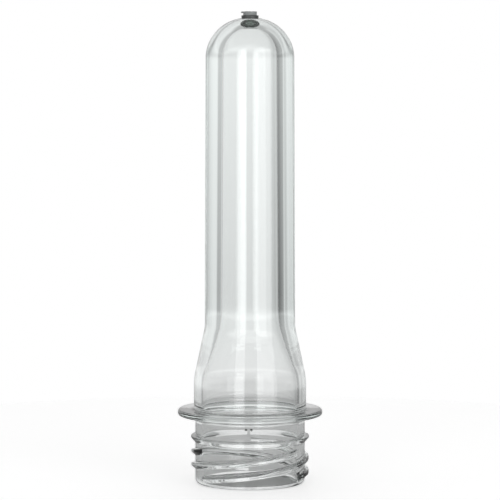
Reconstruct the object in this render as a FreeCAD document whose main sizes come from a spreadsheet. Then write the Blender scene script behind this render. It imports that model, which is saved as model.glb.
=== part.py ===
"""PET bottle preform: one injection-moulded piece with a three-start screw neck.

The preform stands on its open rim. The origin is the centre of the rim plane and +Z runs up the axis
to the gate, so the neck is at the bottom and the domed end with its gate stub is on top. Lengths are
in millimetres, angles in degrees. "Front" is the -Y side.
"""
import FreeCAD, Part
import Sketcher
import math
import os

# The driving sizes: cell alias, value and what it measures.
SIZES = [
    # neck finish, measured up from the rim
    ("finish_height", 17.0, "rim to the flat face of the support ledge"),
    ("neck_diameter", 25.0, "outer wall of the neck between the threads"),
    ("neck_wall", 1.63, "wall of the neck, out from the bore that takes the valve and the plug seal"),
    ("rim_chamfer", 0.6, "outer edge of the sealing rim"),
    ("bore_mouth_chamfer", 0.3, "inner edge of the sealing rim"),
    ("ledge_width", 4.0, "support ledge that hangs in the rails, out from the neck wall"),
    ("ledge_edge_thickness", 1.25, "ledge at its outer edge"),
    ("ledge_edge_chamfer", 0.35, "both corners of the ledge's outer edge"),
    ("ledge_slope", 14.0, "neck side of the ledge, against its flat side"),
    ("bead_height", 1.0, "tamper-evident bead, out from the neck wall"),
    ("bead_level", 10.95, "rim to the bead's retaining face"),
    ("bead_tip_width", 0.4, "flat of the bead's tip"),
    ("bead_ramp", 40.0, "lead-in ramp of the bead, against the neck wall"),
    # screw thread
    ("thread_starts", 3, "separate threads round the neck"),
    ("thread_height", 0.92, "thread crest, out from the neck wall"),
    ("thread_pitch", 3.13, "crest to crest along the axis"),
    ("thread_turn", 240.0, "angle that each thread wraps"),
    ("thread_start_level", 1.6, "rim to the middle of a thread where it starts"),
    ("thread_width", 1.6, "thread at its root"),
    ("thread_load_flank", 10.0, "flank facing the ledge, against the radius"),
    ("thread_lead_flank", 42.0, "flank facing the rim, against the radius"),
    ("thread_run_in", 20.0, "angle over which a thread rises from the wall"),
    ("thread_run_out", 10.0, "angle over which it falls back to the wall"),
    ("thread_end_height", 0.06, "height left where a thread starts and stops"),
    ("ring_bury", 0.5, "depth of a thread's or ring's foot inside the neck wall"),
    # collar and shoulder, measured up from the ledge
    ("collar_step", 0.3, "straight collar above the ledge, out from the neck wall"),
    ("collar_height", 7.0, "ledge to the foot of the shoulder"),
    ("collar_root_chamfer", 0.5, "collar into the ledge"),
    ("shoulder_height", 11.7, "foot of the shoulder to the body"),
    ("crease_height", 8.3, "foot of the shoulder to the mould's split line"),
    ("crease_step", 0.77, "shoulder at the split line, out from the body"),
    ("shoulder_foot_round", 14.0, "collar into the shoulder"),
    ("shoulder_top_round", 10.0, "shoulder into the body"),
    # body and dome
    ("body_diameter", 20.56, "body at the shoulder"),
    ("body_draft", 0.26, "radius that the body loses up to the dome, so that it leaves the mould"),
    ("body_height", 70.2, "top of the shoulder to the top of the dome"),
    ("dome_flat_diameter", 1.6, "flat at the top of the dome, under the gate stub"),
    # core side
    ("bore_draft", 0.32, "radius that the bore loses between the ledge and the inner shoulder"),
    ("inner_shoulder_foot", 7.6, "ledge to the foot of the inner shoulder"),
    ("inner_shoulder_height", 12.8, "length of the inner shoulder"),
    ("body_wall", 3.73, "wall of the body at the shoulder"),
    ("core_draft", 0.4, "radius that the body's bore loses up to its dome"),
    ("gate_wall", 2.7, "wall on the axis, under the gate"),
    ("inner_foot_round", 8.0, "bore into the inner shoulder"),
    ("inner_top_round", 30.0, "inner shoulder into the body bore"),
    # gate stub, torn off the hot runner
    ("gate_foot_diameter", 3.9, "foot of the stub on the dome"),
    ("gate_foot_height", 0.55, "dome to the top of the foot"),
    ("gate_stub_diameter", 3.1, "broken stub on the foot"),
    ("gate_stub_height", 1.0, "height of the stub above its foot"),
    ("gate_bury", 0.5, "depth of the foot inside the dome"),
    ("gate_burr_length", 0.5, "flash that sticks out of the stub's top on the left"),
    ("gate_burr_thickness", 0.35, "thickness of that flash"),
    ("gate_burr_width", 1.8, "width of that flash"),
]

doc = FreeCAD.newDocument("preform_model")


def make_sheet():
    """Put the driving sizes in a spreadsheet, one alias a row."""
    table = doc.addObject("Spreadsheet::Sheet", "sizes")
    for row, (alias, value, meaning) in enumerate(SIZES, start=1):
        table.set(f"A{row}", alias)
        table.set(f"B{row}", str(value))
        table.set(f"C{row}", meaning)
        table.setAlias(f"B{row}", alias)
    doc.recompute()
    return table


sheet = make_sheet()


def size(expression):
    """The number that an expression on the sheet's cells gives."""
    result = sheet.evalExpression(expression)
    return float(getattr(result, "Value", result))


def half(alias):
    """Expression for the radius that belongs to a diameter's cell."""
    return f"sizes.{alias} / 2"


# Radii round the axis, as expressions on the sheet.
NECK = half("neck_diameter")
RING_FOOT = f"({NECK} - sizes.ring_bury)"
BORE = f"({NECK} - sizes.neck_wall)"
THREAD = f"({NECK} + sizes.thread_height)"
BEAD = f"({NECK} + sizes.bead_height)"
LEDGE = f"({NECK} + sizes.ledge_width)"
COLLAR = f"({NECK} + sizes.collar_step)"
BODY = half("body_diameter")
CREASE = f"({BODY} + sizes.crease_step)"
BODY_TIP = f"({BODY} - sizes.body_draft)"
BORE_TOP = f"({BORE} - sizes.bore_draft)"
CORE = f"({BODY} - sizes.body_wall)"
CORE_TIP = f"({CORE} - sizes.core_draft)"
DOME_ROUND = f"{BODY_TIP} - {half('dome_flat_diameter')}"

# Levels above the rim, as expressions on the sheet.
LEDGE_LEVEL = "sizes.finish_height"
LEDGE_EDGE = f"{LEDGE_LEVEL} - sizes.ledge_edge_thickness"
LEDGE_FOOT = f"{LEDGE_EDGE} - sizes.ledge_width * tan(sizes.ledge_slope * 1deg)"
BEAD_EDGE = "sizes.bead_level - sizes.bead_tip_width"
BEAD_FOOT = f"{BEAD_EDGE} - sizes.bead_height / tan(sizes.bead_ramp * 1deg)"
THREAD_LEAD = "sizes.thread_pitch * sizes.thread_starts"
THREAD_RISE = f"{THREAD_LEAD} * sizes.thread_turn / 360"
COLLAR_TOP = f"{LEDGE_LEVEL} + sizes.collar_height"
CREASE_LEVEL = f"{COLLAR_TOP} + sizes.crease_height"
SHOULDER_TOP = f"{COLLAR_TOP} + sizes.shoulder_height"
DOME_TOP = f"{SHOULDER_TOP} + sizes.body_height"
INNER_FOOT = f"{LEDGE_LEVEL} + sizes.inner_shoulder_foot"
INNER_TOP = f"{INNER_FOOT} + sizes.inner_shoulder_height"
CORE_TOP = f"{DOME_TOP} - sizes.gate_wall"
CORE_ROUND = f"{CORE_TIP} * tan((90deg + atan(sizes.core_draft / ({CORE_TOP} - ({INNER_TOP})))) / 2)"
GATE_STEP = f"{DOME_TOP} + sizes.gate_foot_height"
GATE_TOP = f"{GATE_STEP} + sizes.gate_stub_height"

RAMP_WINDOW = "sizes.thread_pitch * 0.9"  # axial reach of a ramp's cut, clear of the next thread
RAMP_CHORD_COUNT = 4                      # chords that make up a ramp
REAR = 90                                 # angle of the +Y side, where the parting line runs
SNAP = 0.001                              # an edge this close to its worked-out place is the one meant

START, END = range(1, 3)                  # ends of a sketch line or arc
H_AXIS, V_AXIS = range(-1, -3, -1)        # a sketch's own axes


def origin_plane(body, role):
    """One of a body's own three planes, found by its role."""
    return next(item for item in body.Origin.OriginFeatures if item.Role == role)


def new_sketch(body, name, role):
    """An empty sketch on one of the body's own planes."""
    sketch = body.newObject("Sketcher::SketchObject", name)
    sketch.AttachmentSupport = [(origin_plane(body, role), "")]
    sketch.MapMode = "FlatFace"
    return sketch


def corner_arc(before, corner, after, radius):
    """The centre and the two tangent points of a round of this radius in a corner."""
    to_before = (before - corner).normalize()
    to_after = (after - corner).normalize()
    half_angle = to_before.getAngle(to_after) / 2
    setback = radius / math.tan(half_angle)
    middle = (to_before + to_after).normalize()
    centre = corner + middle * (radius / math.sin(half_angle))
    return centre, corner + to_before * setback, corner + to_after * setback


def pin_point(sketch, geometry, position, x_expression, y_expression):
    """Hold a point of the sketch at two expressions, measured from the sketch's origin."""
    for kind, expression, axis in (("DistanceX", x_expression, V_AXIS), ("DistanceY", y_expression, H_AXIS)):
        if expression == "0":
            sketch.addConstraint(Sketcher.Constraint("PointOnObject", geometry, position, axis))
            continue
        index = sketch.addConstraint(Sketcher.Constraint(kind, geometry, position, size(expression)))
        sketch.setExpression(f"Constraints[{index}]", expression)


def add_profile(sketch, corners):
    """Draw a closed outline from corners: x, y and, where it is rounded, the radius, as expressions.

    A round that reaches all the way to the next corner, as the tip of a core on its axis, has no line after it.
    """
    points = [FreeCAD.Vector(size(x), size(y), 0) for x, y, _ in corners]
    count = len(points)
    leave, reach, arcs = list(points), list(points), {}
    for index, (_, _, round_expression) in enumerate(corners):
        if round_expression is None:
            continue
        before, corner, after = points[index - 1], points[index], points[(index + 1) % count]
        centre, reach[index], leave[index] = corner_arc(before, corner, after, size(round_expression))
        turns_left = (corner - before).cross(after - corner).z > 0
        first, last = (reach[index], leave[index]) if turns_left else (leave[index], reach[index])
        angles = [math.atan2(tip.y - centre.y, tip.x - centre.x) for tip in (first, last)]
        circle = Part.Circle(centre, FreeCAD.Vector(0, 0, 1), (first - centre).Length)
        arc_ends = (START, END) if turns_left else (END, START)
        arcs[index] = (sketch.addGeometry(Part.ArcOfCircle(circle, *angles)), *arc_ends)
    lines = {
        index: sketch.addGeometry(Part.LineSegment(leave[index], reach[(index + 1) % count]))
        for index in range(count)
        if leave[index].distanceToPoint(reach[(index + 1) % count]) > SNAP
    }
    for index, (x, y, round_expression) in enumerate(corners):
        previous = (index - 1) % count
        line_in, line_out = lines.get(previous), lines.get(index)
        if round_expression is None:
            arrival = (arcs[previous][0], arcs[previous][2]) if line_in is None else (line_in, END)
            sketch.addConstraint(Sketcher.Constraint("Coincident", *arrival, line_out, START))
            pin_point(sketch, line_out, START, x, y)
            continue
        arc, arc_in, arc_out = arcs[index]
        corner = sketch.addGeometry(Part.Point(points[index]), True)
        pin_point(sketch, corner, START, x, y)
        for line, line_end, arc_end in ((line_in, END, arc_in), (line_out, START, arc_out)):
            if line is not None:
                sketch.addConstraint(Sketcher.Constraint("PointOnObject", corner, START, line))
                sketch.addConstraint(Sketcher.Constraint("Tangent", line, line_end, arc, arc_end))
        radius = sketch.addConstraint(Sketcher.Constraint("Radius", arc, size(round_expression)))
        sketch.setExpression(f"Constraints[{radius}]", round_expression)


def turn_profile(body, kind, name, corners):
    """Revolve an outline of the XZ plane round the axis, as an added or a removed form."""
    sketch = new_sketch(body, f"{name}_profile", "XZ_Plane")
    add_profile(sketch, corners)
    feature = body.newObject(kind, name)
    feature.Profile = sketch
    feature.ReferenceAxis = (sketch, ["V_Axis"])
    feature.Angle = 360
    doc.recompute()
    return feature


def circle_edges(feature, rings):
    """Names of a feature's circular edges round the axis that lie at these radii and levels."""
    wanted = [(size(radius), size(level)) for radius, level in rings]
    names = []
    for number, edge in enumerate(feature.Shape.Edges, start=1):
        if edge.Degenerated or not isinstance(edge.Curve, Part.Circle):
            continue
        place = (edge.Curve.Radius, edge.Curve.Center.z)
        on_axis = math.hypot(edge.Curve.Center.x, edge.Curve.Center.y) < SNAP
        if on_axis and any(math.dist(place, ring) < SNAP for ring in wanted):
            names.append(f"Edge{number}")
    return names


def chamfer_edges(body, name, rings, alias):
    """Chamfer circular edges, named by radius and level, at 45 degrees with one size from the sheet."""
    base = body.Tip
    chamfer = body.newObject("PartDesign::Chamfer", name)
    chamfer.Base = (base, circle_edges(base, rings))
    chamfer.setExpression("Size", f"sizes.{alias}")
    doc.recompute()
    return chamfer


def make_blank(body):
    """The outside of the moulding without its threads, bead and ledge: neck, collar, shoulder, body, dome."""
    turn_profile(body, "PartDesign::Revolution", "blank", [
        ("0", "0", None),
        (NECK, "0", None),
        (NECK, LEDGE_EDGE, None),
        (COLLAR, LEDGE_EDGE, None),
        (COLLAR, COLLAR_TOP, "sizes.shoulder_foot_round"),
        (CREASE, CREASE_LEVEL, None),
        (BODY, SHOULDER_TOP, "sizes.shoulder_top_round"),
        (BODY_TIP, DOME_TOP, DOME_ROUND),
        ("0", DOME_TOP, None),
    ])
    return chamfer_edges(body, "rim", [(NECK, "0")], "rim_chamfer")


def make_thread(body):
    """One thread of the screw: a buttress ridge on a helix that starts at the rear."""
    low = "sizes.thread_start_level - sizes.thread_width / 2"
    high = "sizes.thread_start_level + sizes.thread_width / 2"
    sketch = new_sketch(body, "thread_profile", "YZ_Plane")
    add_profile(sketch, [
        (RING_FOOT, low, None),
        (NECK, low, None),
        (THREAD, f"{low} + sizes.thread_height * tan(sizes.thread_lead_flank * 1deg)", None),
        (THREAD, f"{high} - sizes.thread_height * tan(sizes.thread_load_flank * 1deg)", None),
        (NECK, high, None),
        (RING_FOOT, high, None),
    ])
    helix = body.newObject("PartDesign::AdditiveHelix", "thread_ridge")
    helix.Profile = sketch
    helix.ReferenceAxis = (sketch, ["V_Axis"])
    helix.Mode = "pitch-height-angle"
    helix.setExpression("Pitch", THREAD_LEAD)
    helix.setExpression("Height", THREAD_RISE)
    doc.recompute()
    return helix


def make_ramp(body, name, wall_angle, crest_angle, level):
    """Slope one end of the thread from its crest down to the wall, in short chords seen in plan."""
    low_radius = f"({NECK} + sizes.thread_end_height)"
    high_radius = f"({THREAD} + sizes.thread_end_height)"
    clear_radius = f"({THREAD} + sizes.thread_height)"

    def place(radius, angle):
        """Expressions for a point at a radius and an angle round the axis."""
        return f"{radius} * cos(({angle}) * 1deg)", f"{radius} * sin(({angle}) * 1deg)", None

    slope = []
    for step in range(RAMP_CHORD_COUNT + 1):
        share = f"{step} / {RAMP_CHORD_COUNT}"
        slope.append(place(
            f"({low_radius} + ({high_radius} - {low_radius}) * {share})",
            f"{wall_angle} + ({crest_angle} - ({wall_angle})) * {share}",
        ))
    sketch = new_sketch(body, f"{name}_plan", "XY_Plane")
    sketch.setExpression("AttachmentOffset.Base.z", f"{level} - {RAMP_WINDOW} / 2")
    add_profile(sketch, slope + [place(clear_radius, crest_angle), place(clear_radius, wall_angle)])
    ramp = body.newObject("PartDesign::Pocket", name)
    ramp.Profile = sketch
    ramp.Type = "Length"
    ramp.Reversed = True
    ramp.setExpression("Length", RAMP_WINDOW)
    doc.recompute()
    return ramp


def repeat_threads(body, features):
    """Repeat one thread and its two ramps round the axis, once for each start."""
    pattern = body.newObject("PartDesign::PolarPattern", "threads")
    pattern.Originals = features
    pattern.Axis = (origin_plane(body, "Z_Axis"), [""])
    pattern.Angle = 360
    pattern.setExpression("Occurrences", "sizes.thread_starts")
    body.Tip = pattern
    doc.recompute()
    return pattern


def make_bead(body):
    """The tamper-evident bead: a flat retaining face towards the ledge and a ramp towards the rim."""
    return turn_profile(body, "PartDesign::Revolution", "bead", [
        (RING_FOOT, "sizes.bead_level", None),
        (RING_FOOT, BEAD_FOOT, None),
        (NECK, BEAD_FOOT, None),
        (BEAD, BEAD_EDGE, None),
        (BEAD, "sizes.bead_level", None),
    ])


def make_ledge(body):
    """The support ledge: flat towards the body, sloped towards the neck, with chamfered edges."""
    turn_profile(body, "PartDesign::Revolution", "ledge", [
        (RING_FOOT, LEDGE_LEVEL, None),
        (RING_FOOT, LEDGE_FOOT, None),
        (NECK, LEDGE_FOOT, None),
        (LEDGE, LEDGE_EDGE, None),
        (LEDGE, LEDGE_LEVEL, None),
    ])
    chamfer_edges(body, "collar_root", [(COLLAR, LEDGE_LEVEL)], "collar_root_chamfer")
    return chamfer_edges(body, "ledge_edge", [(LEDGE, LEDGE_LEVEL), (LEDGE, LEDGE_EDGE)], "ledge_edge_chamfer")


def make_cavity(body):
    """The hollow left by the core: neck bore, inner shoulder, tapered body bore and its dome."""
    turn_profile(body, "PartDesign::Groove", "cavity", [
        ("0", "0", None),
        (BORE, "0", None),
        (BORE, LEDGE_LEVEL, None),
        (BORE_TOP, INNER_FOOT, "sizes.inner_foot_round"),
        (CORE, INNER_TOP, "sizes.inner_top_round"),
        (CORE_TIP, CORE_TOP, CORE_ROUND),
        ("0", CORE_TOP, None),
    ])
    return chamfer_edges(body, "bore_mouth", [(BORE, "0")], "bore_mouth_chamfer")


def make_gate_stub(body):
    """The stub that the hot runner leaves on the dome: a foot, the broken end and a flash on its left."""
    stub, foot = half("gate_stub_diameter"), half("gate_foot_diameter")
    turn_profile(body, "PartDesign::Revolution", "gate_stub", [
        ("0", f"{DOME_TOP} - sizes.gate_bury", None),
        (foot, f"{DOME_TOP} - sizes.gate_bury", None),
        (foot, GATE_STEP, None),
        (stub, GATE_STEP, None),
        (stub, GATE_TOP, None),
        ("0", GATE_TOP, None),
    ])
    sketch = new_sketch(body, "burr_plan", "XY_Plane")
    sketch.setExpression("AttachmentOffset.Base.z", f"{GATE_TOP} - sizes.gate_burr_thickness")
    reach = f"-({stub} + sizes.gate_burr_length)"
    side = "sizes.gate_burr_width / 2"
    add_profile(sketch, [
        ("0", f"-{side}", None),
        ("0", side, None),
        (reach, side, None),
        (reach, f"-{side}", None),
    ])
    burr = body.newObject("PartDesign::Pad", "gate_burr")
    burr.Profile = sketch
    burr.Type = "Length"
    burr.setExpression("Length", "sizes.gate_burr_thickness")
    doc.recompute()
    return burr


def make_preform():
    """Model the preform feature by feature, the way its mould forms it."""
    body = doc.addObject("PartDesign::Body", "preform")
    body.Label = "preform"
    make_blank(body)
    make_cavity(body)
    make_ledge(body)
    make_bead(body)
    make_gate_stub(body)
    thread = make_thread(body)
    start_ramp = make_ramp(
        body, "run_in", REAR, f"{REAR} + sizes.thread_run_in", "sizes.thread_start_level",
    )
    end_angle = f"{REAR} + sizes.thread_turn"
    end_ramp = make_ramp(
        body, "run_out", end_angle, f"{end_angle} - sizes.thread_run_out",
        f"sizes.thread_start_level + {THREAD_RISE}",
    )
    repeat_threads(body, [thread, start_ramp, end_ramp])
    body.Placement = FreeCAD.Placement()
    doc.recompute()
    return body


def check_document(piece):
    """Stop before anything is written if a feature failed or the piece isn't one valid solid."""
    for item in doc.Objects:
        faults = {"Invalid", "Error"} & set(item.State)
        if faults:
            raise RuntimeError(f"{item.Name} is {faults}")
    shape = piece.Shape
    if shape.isNull() or not shape.isValid() or len(shape.Solids) != 1:
        raise RuntimeError("the preform is not one valid solid")


preform = make_preform()
check_document(preform)
os.makedirs("parts", exist_ok=True)
preform.Shape.exportStep(f"parts/{preform.Label}.step")
print(f"preform: {preform.Shape.Volume:.1f} mm3, {len(preform.Shape.Faces)} faces")
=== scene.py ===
"""Looks of a clear PET bottle preform that stands on its open rim, neck down.

The preform is one injection moulding, so it is one closed mesh: a section is drawn as a line of
edges and spun round the axis, and the neck wall with its three screw threads is a strip of rows
that climb with the threads. Sizes in the classes are millimetres unless their comment says
otherwise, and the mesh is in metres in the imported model's frame: +Z up, the rim on the floor, the
front towards -Y.
"""
import logging
import math
from dataclasses import dataclass, field
from enum import Enum
from itertools import pairwise
from typing import Callable, Sequence

import bpy
import numpy as np
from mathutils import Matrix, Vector


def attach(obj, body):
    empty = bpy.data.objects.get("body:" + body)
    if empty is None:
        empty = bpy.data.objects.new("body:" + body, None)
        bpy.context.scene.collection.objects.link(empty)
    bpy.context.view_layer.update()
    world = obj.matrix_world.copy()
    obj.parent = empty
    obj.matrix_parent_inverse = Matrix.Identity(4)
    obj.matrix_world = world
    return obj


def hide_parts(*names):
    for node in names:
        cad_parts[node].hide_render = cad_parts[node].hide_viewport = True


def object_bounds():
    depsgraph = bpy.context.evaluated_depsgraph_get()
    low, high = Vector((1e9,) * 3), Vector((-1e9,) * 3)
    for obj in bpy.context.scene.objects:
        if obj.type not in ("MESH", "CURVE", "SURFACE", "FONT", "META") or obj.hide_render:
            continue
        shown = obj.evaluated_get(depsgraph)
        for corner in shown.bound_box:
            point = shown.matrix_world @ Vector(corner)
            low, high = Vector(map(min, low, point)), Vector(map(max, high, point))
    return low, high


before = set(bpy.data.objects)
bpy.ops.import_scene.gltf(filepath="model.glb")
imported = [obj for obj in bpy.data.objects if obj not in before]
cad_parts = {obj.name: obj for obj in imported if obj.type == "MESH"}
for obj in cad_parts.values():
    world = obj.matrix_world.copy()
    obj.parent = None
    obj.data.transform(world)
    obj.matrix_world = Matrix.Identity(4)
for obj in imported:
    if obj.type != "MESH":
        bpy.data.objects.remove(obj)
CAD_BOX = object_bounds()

MM = 0.001                  # metres in a millimetre
COLUMNS = 252               # faces round the axis, a multiple of the three thread starts
MERGE = 0.002 * MM          # points closer than this are one point
SHARP_ANGLE = 35.0          # edges that turn more than this stay crisp, in degrees
NODE = "preform"            # the solid that the moulding replaces

log = logging.getLogger("preform")


# -----------------------------------------------------------------------------------------------
# Small tools
# -----------------------------------------------------------------------------------------------

def linear(hex_colour: str) -> tuple[float, float, float, float]:
    """Turn an sRGB hex colour into linear RGBA by the sRGB transfer curve.

    Args:
        hex_colour: The colour as "#RRGGBB".

    Returns:
        Red, green, blue and alpha, each from 0 to 1.
    """
    channels = [int(hex_colour[place:place + 2], 16) / 255 for place in (1, 3, 5)]
    red, green, blue = (
        c / 12.92 if c <= 0.04045 else ((c + 0.055) / 1.055) ** 2.4 for c in channels
    )
    return red, green, blue, 1.0


def add_node(
    tree: bpy.types.NodeTree, kind: str, settings: dict | None = None, links: dict | None = None,
) -> bpy.types.Node:
    """Add a shader node with its settings and its incoming links.

    Args:
        tree: The node tree that gets the node.
        kind: The node's type name.
        settings: Node attributes by name, and socket values by socket name or number.
        links: Output sockets by the name or number of the input that they feed.

    Returns:
        The new node.
    """
    node = tree.nodes.new(kind)
    for name, value in (settings or {}).items():
        if isinstance(name, str) and hasattr(node, name):
            setattr(node, name, value)
        else:
            node.inputs[name].default_value = value
    for name, output in (links or {}).items():
        tree.links.new(output, node.inputs[name])
    return node


def deselect_all() -> None:
    """Leave object mode with nothing selected."""
    if bpy.context.object and bpy.context.object.mode != "OBJECT":
        bpy.ops.object.mode_set(mode="OBJECT")
    bpy.ops.object.select_all(action="DESELECT")


def make_active(piece: bpy.types.Object) -> None:
    """Select one object alone and make it the active one."""
    deselect_all()
    piece.select_set(True)
    bpy.context.view_layer.objects.active = piece


def select_points(piece: bpy.types.Object, wanted: Callable[[Vector], bool]) -> None:
    """Open a piece in edit mode with only the points that a test of their place picks.

    Args:
        piece: The object to edit.
        wanted: Says from a point's place whether it is picked.
    """
    make_active(piece)
    bpy.ops.object.mode_set(mode="EDIT")
    bpy.ops.mesh.select_mode(type="VERT")
    bpy.ops.mesh.select_all(action="DESELECT")
    bpy.ops.object.mode_set(mode="OBJECT")
    for vertex in piece.data.vertices:
        vertex.select = wanted(vertex.co)
    bpy.ops.object.mode_set(mode="EDIT")


def angle_of(place: Vector) -> float:
    """The angle of a place round the axis, in degrees from +X towards +Y, from 0 to 360."""
    return math.degrees(math.atan2(place.y, place.x)) % 360


# -----------------------------------------------------------------------------------------------
# Section drawing
# -----------------------------------------------------------------------------------------------

@dataclass(frozen=True)
class Corner:
    """A corner of the section, and the straight run that follows it.

    Attributes:
        radius: Distance from the axis.
        height: Level above the rim plane.
        round: Radius of the corner's round, 0 for a plain corner.
        steps: Chords that make up the round.
        rows: Rows on the run from this corner to the next.
    """

    radius: float
    height: float
    round: float = 0.0
    steps: int = 6
    rows: int = 1


def trace(corners: Sequence[Corner]) -> list[Vector]:
    """Work out the points of a section line, with its rounds as arcs.

    Args:
        corners: The line's corners in order. The first and the last have no round.

    Returns:
        The points, with the radius as x and the height as z, in millimetres.
    """
    places = [Vector((corner.radius, 0.0, corner.height)) for corner in corners]
    points: list[Vector] = []
    for index, corner in enumerate(corners):
        place = places[index]
        arc = [place]
        if corner.round:
            back = (places[index - 1] - place).normalized()
            ahead = (places[index + 1] - place).normalized()
            half_angle = back.angle(ahead) / 2
            setback = corner.round / math.tan(half_angle)
            centre = place + (back + ahead).normalized() * (corner.round / math.sin(half_angle))
            first = place + back * setback - centre
            last = place + ahead * setback - centre
            arc = [
                centre + first.slerp(last, step / corner.steps) * corner.round
                for step in range(corner.steps + 1)
            ]
        if points:
            rows = corners[index - 1].rows
            start = points[-1]
            points += [start.lerp(arc[0], row / rows) for row in range(1, rows)]
        points += arc
    return points


def draw_line(name: str, points: Sequence[Vector]) -> bpy.types.Object:
    """Draw an open line of edges, point by point, by extruding a single point.

    Args:
        name: The new object's name.
        points: The line's points, in millimetres.

    Returns:
        The line as a mesh object, in metres.
    """
    deselect_all()
    bpy.ops.mesh.primitive_plane_add(size=MM)
    line = bpy.context.object
    line.name = name
    bpy.ops.object.mode_set(mode="EDIT")
    bpy.ops.mesh.merge(type="CENTER")
    bpy.ops.transform.translate(value=points[0] * MM)
    for before, after in pairwise(points):
        bpy.ops.mesh.extrude_region_move(TRANSFORM_OT_translate={"value": (after - before) * MM})
    bpy.ops.object.mode_set(mode="OBJECT")
    return line


def spin_line(line: bpy.types.Object) -> None:
    """Spin a section line once round the axis into a skin, closed at its seam and its pole."""
    make_active(line)
    bpy.ops.object.mode_set(mode="EDIT")
    bpy.ops.mesh.select_all(action="SELECT")
    bpy.ops.mesh.spin(steps=COLUMNS, angle=math.tau, center=(0, 0, 0), axis=(0, 0, 1))
    bpy.ops.mesh.select_all(action="SELECT")
    bpy.ops.mesh.remove_doubles(threshold=MERGE)
    bpy.ops.object.mode_set(mode="OBJECT")


class Push(Enum):
    """Ways in which a weighted group of points can be pushed."""

    OUT = "NORMAL"
    ACROSS = "X"
    BACK = "Y"
    UP = "Z"


def push_group(
    piece: bpy.types.Object, name: str, direction: Push, distance: float,
    share: Callable[[Vector], float], texture: bpy.types.Texture | None = None,
) -> None:
    """Push points by a share of a distance, with a Displace modifier that is applied.

    Args:
        piece: The object whose points move.
        name: Name of the group and the modifier.
        direction: The way they go.
        distance: The furthest that a point goes, in millimetres.
        share: Gives each point's share of that distance from its place in metres, from 0 to 1.
        texture: A texture that makes the push uneven and turns it back, or None for an even one.
    """
    group = piece.vertex_groups.new(name=name)
    for vertex in piece.data.vertices:
        weight = share(vertex.co)
        if weight > 0:
            group.add([vertex.index], weight, "REPLACE")
    make_active(piece)
    push = piece.modifiers.new(name, "DISPLACE")
    push.vertex_group = name
    push.direction = direction.value
    push.mid_level = 1.0 if texture else 0.0
    push.strength = distance * MM
    if texture:
        push.texture = texture
        push.texture_coords = "LOCAL"
    bpy.ops.object.modifier_apply(modifier=name)
    piece.vertex_groups.remove(piece.vertex_groups[name])


# -----------------------------------------------------------------------------------------------
# Finishes
# -----------------------------------------------------------------------------------------------

@dataclass(frozen=True)
class Relief:
    """Fine relief of a moulded surface, from noise on the piece's own coordinates.

    Attributes:
        grain: Width of its grains.
        depth: Their depth.
        strength: Share of that depth which shows.
        detail: Octaves of finer grain.
        harshness: Strength of each finer octave against the one before.
        stretch: Scale of the pattern up the axis, against 1 across it.
    """

    grain: float
    depth: float
    strength: float = 1.0
    detail: float = 2.0
    harshness: float = 0.5
    stretch: float = 1.0

    def add(self, tree: bpy.types.NodeTree) -> bpy.types.NodeSocket:
        """Add the relief to a material.

        Args:
            tree: The material's node tree.

        Returns:
            The normal for the shader.
        """
        place = add_node(tree, "ShaderNodeTexCoord")
        along = add_node(tree, "ShaderNodeMapping", {
            "Scale": (1.0, 1.0, self.stretch),
        }, {"Vector": place.outputs["Object"]})
        noise = add_node(tree, "ShaderNodeTexNoise", {
            "Scale": 1 / (self.grain * MM), "Detail": self.detail, "Roughness": self.harshness,
        }, {"Vector": along.outputs["Vector"]})
        bump = add_node(tree, "ShaderNodeBump", {
            "Strength": self.strength, "Distance": self.depth * MM,
        }, {"Height": noise.outputs["Fac"]})
        return bump.outputs["Normal"]


@dataclass(frozen=True)
class Pet:
    """Amorphous PET, in the state that one place of the moulding leaves it in.

    Attributes:
        name: The material's name.
        surface: Colour of the surface.
        roughness: Roughness of the surface.
        clearness: Share of the light that goes into the plastic, from 0 to 1.
        relief: Relief of the surface.
        depth: Colour that the light takes on in the plastic.
        density: Absorption per metre, 0 for none.
        ior: Index of refraction, typical of amorphous PET.
    """

    name: str
    surface: str
    roughness: float
    clearness: float
    relief: Relief
    depth: str = "#FFFFFF"
    density: float = 0.0
    ior: float = 1.575

    def make(self) -> bpy.types.Material:
        """Build the material.

        Returns:
            The finished material.
        """
        material = bpy.data.materials.new(self.name)
        material.use_nodes = True
        tree = material.node_tree
        tree.nodes.clear()
        shader = add_node(tree, "ShaderNodeBsdfPrincipled", {
            "Base Color": linear(self.surface),
            "Roughness": self.roughness,
            "IOR": self.ior,
            "Transmission Weight": self.clearness,
        }, {"Normal": self.relief.add(tree)})
        output = {"Surface": shader.outputs["BSDF"]}
        if self.density:
            volume = add_node(tree, "ShaderNodeVolumeAbsorption", {
                "Color": linear(self.depth), "Density": self.density,
            })
            output["Volume"] = volume.outputs["Volume"]
        add_node(tree, "ShaderNodeOutputMaterial", links=output)
        return material


@dataclass(frozen=True)
class ClearPet(Pet):
    """PET injection-moulded against polished steel: clear, glossy and faintly green in depth.

    Its relief is the shallow waves that the flow leaves, drawn out up the axis.
    """

    name: str = "clear moulded PET"
    surface: str = "#FFFFFF"
    roughness: float = 0.0
    clearness: float = 1.0
    relief: Relief = Relief(grain=2.5, depth=0.004, stretch=0.15)
    depth: str = "#B9FFF0"
    density: float = 9.0


@dataclass(frozen=True)
class PaintedShadeFootPet(Pet):
    """PET round the gate's foot, dark grey, clouded and nearly opaque: its colour is painted shade,
    standing in for the shade of the tight notch between the stub and the dome.
    """

    name: str = "gate foot PET with painted shade"
    # Dark grey surface: painted shade of the notch round the gate's foot.
    surface: str = "#565958"
    roughness: float = 0.35
    clearness: float = 0.4
    relief: Relief = Relief(grain=0.4, depth=0.05, strength=0.5, detail=3.0)


@dataclass(frozen=True)
class TornPet(Pet):
    """PET where the gate was torn off: whitened by the stretch, rough and grainy."""

    name: str = "torn PET gate"
    surface: str = "#A9ADAC"
    roughness: float = 0.45
    clearness: float = 0.35
    relief: Relief = Relief(grain=0.25, depth=0.1, strength=0.8, detail=4.0, harshness=0.6)


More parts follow.
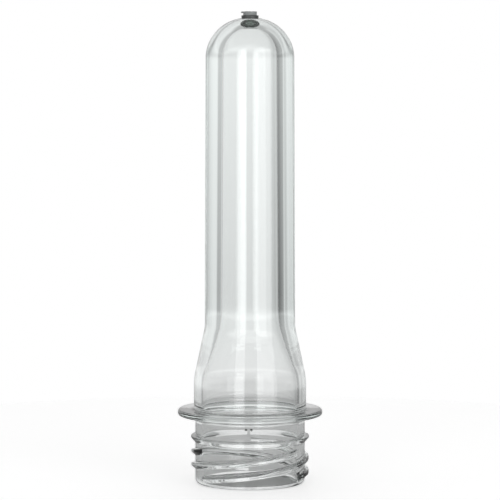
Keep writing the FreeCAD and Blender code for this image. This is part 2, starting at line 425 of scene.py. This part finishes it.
# -----------------------------------------------------------------------------------------------
# The moulding
# -----------------------------------------------------------------------------------------------

@dataclass(frozen=True)
class Rim:
    """The open rim that the preform stands on, and the bore of the neck above it."""

    radius: float = 12.5
    bore_radius: float = 10.87
    outer_round: float = 1.0
    inner_round: float = 0.3
    slack: float = 0.001            # keeps the outer round's end off the wall's first point

    def section(self) -> list[Corner]:
        """The section from the neck wall round the rim and into the bore."""
        return [
            Corner(self.radius, self.outer_round),
            Corner(self.radius, 0.0, self.outer_round - self.slack, 10, 3),
            Corner(self.bore_radius, 0.0, self.inner_round, 6, 8),
        ]


@dataclass(frozen=True)
class Core:
    """The hollow that the core leaves: straight bore, inner shoulder, drafted bore and dome."""

    bore_radius: float = 10.87
    bore_height: float = 17.0
    bore_top_radius: float = 10.8
    foot_height: float = 24.6
    foot_round: float = 16.0
    top_height: float = 36.2
    radius: float = 6.55
    top_round: float = 22.0
    tip_radius: float = 6.15
    tip_height: float = 103.2
    tip_flat: float = 0.05

    def section(self) -> list[Corner]:
        """The section from the top of the straight bore to the tip of the core."""
        return [
            Corner(self.bore_radius, self.bore_height, rows=4),
            Corner(self.bore_top_radius, self.foot_height, self.foot_round, 10, 6),
            Corner(self.radius, self.top_height, self.top_round, 16, 14),
            Corner(self.tip_radius, self.tip_height, self.tip_radius - self.tip_flat, 26),
            Corner(0.0, self.tip_height),
        ]


@dataclass(frozen=True)
class NeckThread:
    """Three buttress threads that climb to the right round the neck wall."""

    wall_radius: float = 12.5
    crest_radius: float = 13.42
    foot_level: float = 1.0         # where the wall meets the rim's round
    head_level: float = 9.3         # just under the bead's ramp
    starts: int = 3
    pitch: float = 3.13
    turn: float = 240.0             # degrees that a thread wraps
    first_angle: float = 90.0       # where the first thread starts, in degrees from +X
    start_level: float = 1.6
    width: float = 1.6
    load_flank: float = 10.0        # flank facing the ledge, in degrees against the radius
    lead_flank: float = 42.0        # flank facing the rim
    crest_round: float = 0.2
    root_round: float = 0.15
    run_in: float = 20.0            # degrees over which a thread rises from the wall
    run_out: float = 12.0           # degrees over which it falls back
    end_shape: float = 0.7          # power of the rise at the ends, steep first when under 1
    gap_rows: int = 4               # rows on the bare wall between two turns
    settle: float = 0.15            # the threads are gone this far above the rim's round

    @property
    def depth(self) -> float:
        """Height of the crest above the wall."""
        return self.crest_radius - self.wall_radius

    @property
    def lead(self) -> float:
        """Climb of one thread in a full turn."""
        return self.pitch * self.starts

    def ridge(self) -> list[Vector]:
        """The thread's own section: x is the height above the wall, z the place along the axis."""
        side = self.width / 2
        lead_run = self.depth * math.tan(math.radians(self.lead_flank))
        load_run = self.depth * math.tan(math.radians(self.load_flank))
        reach = self.pitch / 2
        return trace([
            Corner(0.0, -reach, rows=self.gap_rows),
            Corner(0.0, -side, self.root_round, 4, 2),
            Corner(self.depth, lead_run - side, self.crest_round, 5, 2),
            Corner(self.depth, side - load_run, self.crest_round, 6, 2),
            Corner(0.0, side, self.root_round, 5, self.gap_rows),
            Corner(0.0, reach),
        ])

    def end_share(self, turned: float) -> float:
        """Share of the full height near a thread's two ends, from 0 to 1."""
        share = min(turned / self.run_in, (self.turn - turned) / self.run_out, 1.0)
        return max(share, 0.0) ** self.end_shape

    def share(self, place: Vector, ridge: Sequence[Vector]) -> float:
        """Share of the full thread height at a place on the wall.

        Args:
            place: The point, in metres.
            ridge: The points of the thread's section.

        Returns:
            The share, from 0 on the bare wall to 1 on a crest.
        """
        level = place.z / MM
        offsets = [point.z for point in ridge]
        heights = [point.x / self.depth for point in ridge]
        best = 0.0
        for start in range(self.starts):
            turned = (angle_of(place) - self.first_angle - start * 360 / self.starts) % 360
            if turned >= self.turn:
                continue
            offset = level - self.start_level - self.lead * turned / 360
            height = float(np.interp(offset, offsets, heights, 0.0, 0.0))
            best = max(best, height * self.end_share(turned))
        return best * min(max((level - self.foot_level) / self.settle, 0.0), 1.0)

    def rows(self, ridge: Sequence[Vector]) -> list[Vector]:
        """Rows of the strip at angle 0, a pattern of one pitch over and over."""
        middle = self.start_level + self.lead * ((-self.first_angle) % 360) / 360
        below = math.ceil((middle - self.foot_level + self.lead) / self.pitch) + 1
        above = math.ceil((self.head_level - middle) / self.pitch) + 1
        levels = [
            middle + turn * self.pitch + point.z
            for turn in range(-below, above + 1) for point in ridge[:-1]
        ]
        low = self.foot_level - self.lead - self.pitch
        high = self.head_level + self.pitch
        return [Vector((self.wall_radius, 0.0, level)) for level in levels if low < level < high]

    def build(self) -> bpy.types.Object:
        """Make the neck wall between the rim and the bead, with its threads.

        Returns:
            The strip of wall, open at its foot and its head.
        """
        ridge = self.ridge()
        wall = draw_line("neck_wall", self.rows(ridge))
        screw = wall.modifiers.new("climb", "SCREW")
        screw.steps = screw.render_steps = COLUMNS
        screw.screw_offset = self.lead * MM
        screw.use_merge_vertices = False
        make_active(wall)
        bpy.ops.object.modifier_apply(modifier="climb")
        foot, head = self.foot_level * MM, self.head_level * MM
        select_points(wall, lambda place: place.z < foot)
        bpy.ops.transform.resize(value=(1, 1, 0), center_override=(0, 0, foot))
        select_points(wall, lambda place: place.z > head)
        bpy.ops.transform.resize(value=(1, 1, 0), center_override=(0, 0, head))
        bpy.ops.mesh.select_all(action="SELECT")
        bpy.ops.mesh.remove_doubles(threshold=MERGE)
        bpy.ops.mesh.normals_make_consistent(inside=False)
        bpy.ops.object.mode_set(mode="OBJECT")
        push_group(wall, "thread", Push.OUT, self.depth, lambda place: self.share(place, ridge))
        return wall


@dataclass(frozen=True)
class NeckRings:
    """The tamper-evident bead and the support ledge, from the threads up to the collar."""

    wall_radius: float = 12.5
    bead_radius: float = 13.5
    bead_level: float = 10.95
    bead_tip: float = 0.4
    bead_ramp: float = 40.0         # degrees against the neck wall
    ramp_round: float = 0.05
    bead_round: float = 0.15
    ledge_radius: float = 16.5
    ledge_level: float = 17.0
    ledge_edge: float = 1.25
    ledge_round: float = 0.5
    ledge_slope: float = 14.0       # degrees against its flat side
    root_round: float = 0.4
    vent_place: float = -0.35       # middle of the vent through the bead at the rear, along X
    vent_side: float = 0.3          # half of its full-depth width
    vent_edge: float = 0.8          # width of its sloped side
    vent_reach: float = 1.8         # half of its length along the axis

    def vent_share(self, place: Vector) -> float:
        """Share of the bead's height that the vent takes away at a place."""
        tip_foot = self.bead_level - self.bead_tip
        if place.y < 0 or abs(place.z / MM - tip_foot) > self.vent_reach:
            return 0.0
        outside = abs(place.x / MM - self.vent_place) - self.vent_side
        inside = 1 - outside / self.vent_edge
        height = (place.xy.length / MM - self.wall_radius) / (self.bead_radius - self.wall_radius)
        return min(max(inside, 0.0), 1.0) * min(max(height, 0.0), 1.0)

    def section(self) -> list[Corner]:
        """The section from the neck wall under the bead to the top edge of the ledge."""
        ramp_foot = (
            self.bead_level - self.bead_tip
            - (self.bead_radius - self.wall_radius) / math.tan(math.radians(self.bead_ramp))
        )
        edge = self.ledge_level - self.ledge_edge
        slope = (self.ledge_radius - self.wall_radius) * math.tan(math.radians(self.ledge_slope))
        return [
            Corner(self.wall_radius, ramp_foot, self.ramp_round, 2, 3),
            Corner(self.bead_radius, self.bead_level - self.bead_tip, self.bead_round, 5, 1),
            Corner(self.bead_radius, self.bead_level, self.bead_round, 5, 3),
            Corner(self.wall_radius, self.bead_level, self.bead_round, 5, 4),
            Corner(self.wall_radius, edge - slope, self.root_round, 6, 4),
            Corner(self.ledge_radius, edge, self.ledge_round, 7, 1),
            Corner(self.ledge_radius, self.ledge_level, self.ledge_round, 7, 5),
        ]


@dataclass(frozen=True)
class Barrel:
    """The outside above the ledge: collar, shoulder with its split line, drafted body and dome."""

    ledge_level: float = 17.0
    collar_radius: float = 12.8
    collar_round: float = 0.8
    foot_level: float = 24.0
    foot_round: float = 14.0
    crease_level: float = 32.3
    crease_radius: float = 11.05
    crease_ridge: float = 0.012     # height of the witness line at the mould's split
    crease_side: float = 0.12       # half of its width
    crease_slope: float = 0.22      # slope of the shoulder there, across over up
    top_level: float = 35.7
    top_round: float = 10.0
    radius: float = 10.28
    tip_radius: float = 10.02
    tip_level: float = 105.9
    tip_flat: float = 0.8

    def section(self) -> list[Corner]:
        """The section from the ledge to the top of the dome."""
        run = self.crease_slope * self.crease_side
        return [
            Corner(self.collar_radius, self.ledge_level, self.collar_round, 8, 4),
            Corner(self.collar_radius, self.foot_level, self.foot_round, 8, 6),
            Corner(self.crease_radius + run, self.crease_level - self.crease_side),
            Corner(self.crease_radius + self.crease_ridge, self.crease_level),
            Corner(self.crease_radius - run, self.crease_level + self.crease_side, rows=3),
            Corner(self.radius, self.top_level, self.top_round, 10, 16),
            Corner(self.tip_radius, self.tip_level, self.tip_radius - self.tip_flat, 30),
            Corner(0.0, self.tip_level),
        ]


@dataclass(frozen=True)
class GateStub:
    """The stub where the runner was torn off: a foot, a rough end and a flash on its left."""

    foot_radius: float = 1.95
    foot_top: float = 106.45
    foot_gap: float = 0.01          # the dome's points stop this far outside the foot
    radius: float = 1.55
    step_round: float = 0.1
    top: float = 107.45
    edge_round: float = 0.12
    flash_length: float = 0.5
    flash_thickness: float = 0.35
    flash_side: float = 0.9         # half of its width
    flash_from: float = 0.7         # share of the stub's radius beyond which it is pulled out
    flash_fade: int = 4             # power of its fall towards its sides
    tear_from: float = 0.3          # above the foot's top
    tear_run: float = 0.5           # from there to the full depth
    tear_depth: float = 0.3
    tear_grain: float = 0.5
    tear_detail: int = 2            # octaves of finer grain

    def section(self, dome: Sequence[Vector]) -> list[Corner]:
        """The section from the dome to the middle of the torn end.

        Args:
            dome: The points of the dome, to find where the foot meets it.

        Returns:
            The stub's corners.
        """
        foot = float(np.interp(-self.foot_radius, [-p.x for p in dome], [p.z for p in dome]))
        return [
            Corner(self.foot_radius, foot, rows=3),
            Corner(self.foot_radius, self.foot_top, self.edge_round, 4, 3),
            Corner(self.radius, self.foot_top, self.step_round, 3, 8),
            Corner(self.radius, self.top, self.edge_round, 4, 12),
            Corner(0.0, self.top),
        ]


@dataclass
class Moulding:
    """The whole preform as one closed mesh."""

    rim: Rim = field(default_factory=Rim)
    core: Core = field(default_factory=Core)
    thread: NeckThread = field(default_factory=NeckThread)
    rings: NeckRings = field(default_factory=NeckRings)
    barrel: Barrel = field(default_factory=Barrel)
    gate: GateStub = field(default_factory=GateStub)
    clear: ClearPet = field(default_factory=ClearPet)
    torn: TornPet = field(default_factory=TornPet)
    # The gate foot's finish, a painted shade of the notch round it.
    painted_shade_foot: PaintedShadeFootPet = field(default_factory=PaintedShadeFootPet)
    torn_above: float = 0.05        # the torn finish starts this far above the foot's top
    painted_shade_below: float = 0.2      # the painted-shade finish starts this far under the dome's top

    def build_inside(self) -> bpy.types.Object:
        """Spin the rim and the hollow."""
        skin = draw_line("inside", trace(self.rim.section() + self.core.section()))
        spin_line(skin)
        return skin

    def build_outside(self) -> bpy.types.Object:
        """Spin the outside from the head of the threads to the gate stub."""
        head = Corner(self.thread.wall_radius, self.thread.head_level)
        outline = trace([head] + self.rings.section() + self.barrel.section())
        foot_edge = self.gate.foot_radius + self.gate.foot_gap
        outline = [point for point in outline if point.x > foot_edge]
        dome_foot = self.barrel.tip_level - self.barrel.tip_radius
        dome = [point for point in outline if point.z > dome_foot]
        skin = draw_line("outside", outline + trace(self.gate.section(dome)))
        spin_line(skin)
        return skin

    def tear_gate(self, piece: bpy.types.Object) -> None:
        """Pull out the flash on the stub's left and roughen its torn end."""
        gate = self.gate
        flash_foot = gate.top - gate.flash_thickness

        def flash(place: Vector) -> float:
            """Share of the flash's length at a place."""
            if place.z / MM < flash_foot or place.x > -gate.flash_from * gate.radius * MM:
                return 0.0
            return max(0.0, 1 - (place.y / MM / gate.flash_side) ** gate.flash_fade)

        def tear(place: Vector) -> float:
            """Share of the tear's depth at a place."""
            above = place.z / MM - gate.foot_top - gate.tear_from
            return min(max(above / gate.tear_run, 0.0), 1.0)

        push_group(piece, "flash", Push.ACROSS, -gate.flash_length, flash)
        clouds = bpy.data.textures.new("tear", "CLOUDS")
        clouds.noise_scale = gate.tear_grain * MM
        clouds.noise_depth = gate.tear_detail
        push_group(piece, "tear", Push.UP, gate.tear_depth, tear, clouds)

    def build(self) -> bpy.types.Object:
        """Join the skins into one closed moulding and dress it.

        Returns:
            The finished piece.
        """
        parts = [self.build_inside(), self.thread.build(), self.build_outside()]
        deselect_all()
        for part in parts:
            part.select_set(True)
        bpy.context.view_layer.objects.active = parts[0]
        bpy.ops.object.join()
        piece = bpy.context.object
        piece.name = piece.data.name = "clear_preform"
        bpy.ops.object.mode_set(mode="EDIT")
        bpy.ops.mesh.select_all(action="SELECT")
        bpy.ops.mesh.remove_doubles(threshold=MERGE)
        bpy.ops.mesh.normals_make_consistent(inside=False)
        bpy.ops.object.mode_set(mode="OBJECT")
        self.tear_gate(piece)
        rings = self.rings
        bead_height = rings.bead_radius - rings.wall_radius
        push_group(piece, "vent", Push.BACK, -bead_height, rings.vent_share)
        bpy.ops.object.shade_smooth_by_angle(angle=math.radians(SHARP_ANGLE))
        self.dress(piece)
        return piece

    def dress(self, piece: bpy.types.Object) -> None:
        """Dress the moulding in clear PET, the stub in torn PET and the stub's foot in dark grey
        PET that paints the shade of its notch.
        """
        finishes = [self.clear, self.torn, self.painted_shade_foot]
        for finish in finishes:
            piece.data.materials.append(finish.make())
        torn_level = (self.gate.foot_top + self.torn_above) * MM
        dome_level = (self.barrel.tip_level - self.painted_shade_below) * MM
        for face in piece.data.polygons:
            centre = face.center
            if centre.z > torn_level:
                face.material_index = finishes.index(self.torn)
            # Faces round the gate's foot get the dark grey finish of painted shade.
            elif centre.z > dome_level and centre.xy.length > self.gate.radius * MM:
                face.material_index = finishes.index(self.painted_shade_foot)


# -----------------------------------------------------------------------------------------------
# Stage
# -----------------------------------------------------------------------------------------------

@dataclass(frozen=True)
class Screen:
    """The tone of the studio in one direction, 1 for white.

    Attributes:
        azimuth: Angle from straight behind the preform, to the right, in degrees.
        level: Tone at the height of the dome.
        low: Tone just above the table.
    """

    azimuth: float
    level: float
    low: float


@dataclass(frozen=True)
class Rise:
    """A value that changes with elevation: its share at one elevation, and 1 at another.

    Attributes:
        low: Elevation at which the value is the share, in degrees.
        high: Elevation at which it is 1.
        share: The value at low.
        shape: How it goes from one to the other, as the Map Range node names it.
    """

    low: float
    high: float
    share: float = 0.0
    shape: str = "SMOOTHSTEP"


@dataclass(frozen=True)
class Surroundings:
    """A white studio round the preform: a backdrop, grey screens at its sides and a grey ceiling.

    The screens are what clear plastic shows beside its bore. The camera itself sees plain white.
    """

    screens: tuple[Screen, ...] = (
        Screen(-180, 0.45, 0.45),
        Screen(-80, 0.55, 0.50),
        Screen(-69, 0.68, 0.62),
        Screen(-66, 0.58, 0.35),
        Screen(-50, 0.60, 0.33),
        Screen(-45, 0.90, 0.64),
        Screen(-40, 0.94, 0.72),
        Screen(-5, 0.95, 0.72),
        Screen(16, 0.92, 0.68),
        Screen(29, 0.66, 0.44),
        Screen(36, 0.72, 0.52),
        Screen(41, 0.80, 0.68),
        Screen(45, 0.50, 0.30),
        Screen(56, 0.44, 0.18),
        Screen(70, 0.30, 0.09),
        Screen(90, 0.30, 0.12),
        Screen(140, 0.35, 0.30),
        Screen(180, 0.45, 0.45),
    )
    upper: Rise = Rise(-6.0, -0.5, shape="LINEAR")  # from the screens' lower tone to their upper
    foot: Rise = Rise(-9.0, -5.2, share=0.6)        # dimming where the table's edge starts
    top: Rise = Rise(2.5, -0.5, share=0.9)          # dimming above the dome
    table: float = 0.9                              # tone of the lit table top beyond the floor
    table_end: Rise = Rise(-16.0, -10.0)
    ceiling: float = 0.45                           # tone of the ceiling
    ceiling_start: Rise = Rise(30.0, 45.0)

    def add_ring(
        self, tree: bpy.types.NodeTree, around: bpy.types.NodeSocket, tone: str,
    ) -> bpy.types.NodeSocket:
        """Add the ring of screens as a ramp of tones round the preform.

        Args:
            tree: The world's node tree.
            around: The azimuth as a share of a full turn, 0.5 straight behind the preform.
            tone: The screens' attribute that gives the tone.

        Returns:
            The tone in each direction.
        """
        ring = add_node(tree, "ShaderNodeValToRGB", links={"Fac": around})
        stops = ring.color_ramp.elements
        for screen in self.screens[1:-1]:
            stops.new(screen.azimuth / 360 + 0.5)
        for stop, screen in zip(stops, self.screens):
            stop.color = (*[getattr(screen, tone)] * 3, 1.0)
        return ring.outputs["Color"]

    def build(self) -> None:
        """Make the world."""
        world = bpy.data.worlds.new("white studio")
        world.use_nodes = True
        bpy.context.scene.world = world
        tree = world.node_tree
        tree.nodes.clear()
        way = add_node(tree, "ShaderNodeTexCoord")
        axes = add_node(tree, "ShaderNodeSeparateXYZ", links={"Vector": way.outputs["Generated"]})
        turn = add_node(tree, "ShaderNodeMath", {"operation": "ARCTAN2"}, {
            0: axes.outputs["X"], 1: axes.outputs["Y"],
        })
        around = add_node(tree, "ShaderNodeMath", {
            "operation": "MULTIPLY_ADD", 1: 1 / math.tau, 2: 0.5,
        }, {0: turn.outputs[0]}).outputs[0]
        upper, foot, top, table_end, ceiling_start = (
            add_node(tree, "ShaderNodeMapRange", {
                "interpolation_type": rise.shape,
                "From Min": math.sin(math.radians(rise.low)),
                "From Max": math.sin(math.radians(rise.high)),
                "To Min": rise.share,
            }, {"Value": axes.outputs["Z"]}).outputs["Result"]
            for rise in (self.upper, self.foot, self.top, self.table_end, self.ceiling_start)
        )
        tone = add_node(tree, "ShaderNodeMix", {"data_type": "FLOAT"}, {
            0: upper,
            2: self.add_ring(tree, around, "low"),
            3: self.add_ring(tree, around, "level"),
        }).outputs[0]
        for share in (foot, top):
            tone = add_node(tree, "ShaderNodeMath", {"operation": "MULTIPLY"}, {
                0: tone, 1: share,
            }).outputs[0]
        based = add_node(tree, "ShaderNodeMix", {"data_type": "FLOAT", 2: self.table}, {
            0: table_end, 3: tone,
        })
        studio = add_node(tree, "ShaderNodeMix", {"data_type": "FLOAT", 3: self.ceiling}, {
            0: ceiling_start, 2: based.outputs[0],
        })
        rays = add_node(tree, "ShaderNodeLightPath")
        seen = add_node(tree, "ShaderNodeMix", {"data_type": "FLOAT", 3: 1.0}, {
            0: rays.outputs["Is Camera Ray"], 2: studio.outputs[0],
        })
        light = add_node(tree, "ShaderNodeBackground", links={"Color": seen.outputs[0]})
        add_node(tree, "ShaderNodeOutputWorld", links={"Surface": light.outputs["Background"]})


@dataclass(frozen=True)
class Floor:
    """A round white table top under the preform."""

    radius: float = 0.15            # in metres
    sides: int = 96
    colour: str = "#E6E6E6"
    roughness: float = 0.6
    gloss: float = 0.2
    glow: float = 0.55              # added where the camera sees the top, to read as white

    def build(self) -> bpy.types.Object:
        """Make the table top.

        Returns:
            The floor.
        """
        deselect_all()
        bpy.ops.mesh.primitive_circle_add(
            vertices=self.sides, radius=self.radius, fill_type="NGON",
        )
        floor = bpy.context.object
        floor.name = "floor"
        material = bpy.data.materials.new("white laminate")
        material.use_nodes = True
        tree = material.node_tree
        tree.nodes.clear()
        rays = add_node(tree, "ShaderNodeLightPath")
        glow = add_node(tree, "ShaderNodeMath", {"operation": "MULTIPLY", 1: self.glow}, {
            0: rays.outputs["Is Camera Ray"],
        })
        shader = add_node(tree, "ShaderNodeBsdfPrincipled", {
            "Base Color": linear(self.colour),
            "Roughness": self.roughness,
            "Specular IOR Level": self.gloss,
            "Emission Color": (1, 1, 1, 1),
        }, {"Emission Strength": glow.outputs[0]})
        add_node(tree, "ShaderNodeOutputMaterial", links={"Surface": shader.outputs["BSDF"]})
        floor.data.materials.append(material)
        return floor


@dataclass(frozen=True)
class Softbox:
    """A tall soft light in front of the preform.

    Attributes:
        name: The lamp's name.
        azimuth: Angle from the camera's side of the preform, to the right, in degrees.
        spread: Width as an angle seen from the preform.
        low: Elevation of its lower edge.
        high: Elevation of its upper edge.
        brightness: Tone of its face, 1 for white.
        distance: From the axis, in metres.
    """

    name: str
    azimuth: float
    spread: float
    low: float
    high: float
    brightness: float
    distance: float = 0.6

    def build(self) -> bpy.types.Object:
        """Hang the light.

        Returns:
            The lamp.
        """
        turn = math.radians(self.azimuth)
        bottom = self.distance * math.tan(math.radians(self.low))
        top = self.distance * math.tan(math.radians(self.high))
        width = 2 * self.distance * math.tan(math.radians(self.spread) / 2)
        aim = (CAD_BOX[0][2] + CAD_BOX[1][2]) / 2
        lamp = bpy.data.lights.new(self.name, "AREA")
        lamp.shape = "RECTANGLE"
        lamp.size = width
        lamp.size_y = top - bottom
        lamp.energy = self.brightness * math.pi * width * (top - bottom)
        light = bpy.data.objects.new(self.name, lamp)
        bpy.context.collection.objects.link(light)
        light.location = (
            self.distance * math.sin(turn),
            -self.distance * math.cos(turn),
            aim + (top + bottom) / 2,
        )
        light.rotation_euler = (math.radians(90), 0, turn)
        light.visible_camera = False
        return light


@dataclass(frozen=True)
class Viewpoint:
    """The camera, level with the top of the preform and aimed at its middle, sizes in metres."""

    distance: float = 0.667
    height: float = 0.108
    aim_drop: float = 0.00045       # the aim is this far under the preform's middle
    nearest: float = 0.01           # nearest that the camera sees
    lens: float = 212.0             # in millimetres, as is the sensor
    sensor: float = 36.0

    def build(self) -> bpy.types.Object:
        """Set up the camera.

        Returns:
            The camera.
        """
        middle = (Vector(CAD_BOX[0]) + Vector(CAD_BOX[1])) / 2
        view = bpy.data.cameras.new("camera")
        view.lens = self.lens
        view.sensor_width = self.sensor
        view.clip_start = self.nearest
        camera = bpy.data.objects.new("camera", view)
        bpy.context.collection.objects.link(camera)
        camera.location = (middle.x, -self.distance, self.height)
        aim = Vector((middle.x, 0, middle.z - self.aim_drop)) - camera.location
        camera.rotation_euler = aim.to_track_quat("-Z", "Y").to_euler()
        bpy.context.scene.camera = camera
        return camera


SOFTBOXES = (
    Softbox("left softbox", azimuth=-22.0, spread=21.0, low=-12.0, high=29.0, brightness=1.7),
    Softbox("right softbox", azimuth=36.0, spread=41.0, low=-12.0, high=29.0, brightness=1.7),
)


def main() -> None:
    """Build the preform and its stage, and report each piece."""
    logging.basicConfig(level=logging.INFO, format="%(message)s")
    Viewpoint().build()
    Surroundings().build()
    Floor().build()
    for softbox in SOFTBOXES:
        softbox.build()
    bpy.context.scene.view_settings.view_transform = "Standard"

    preform = Moulding().build()
    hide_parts(NODE)
    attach(preform, "root")
    mesh = preform.data
    log.info("%s: %d points, %d faces", preform.name, len(mesh.vertices), len(mesh.polygons))


if __name__ == "__main__":
    main()
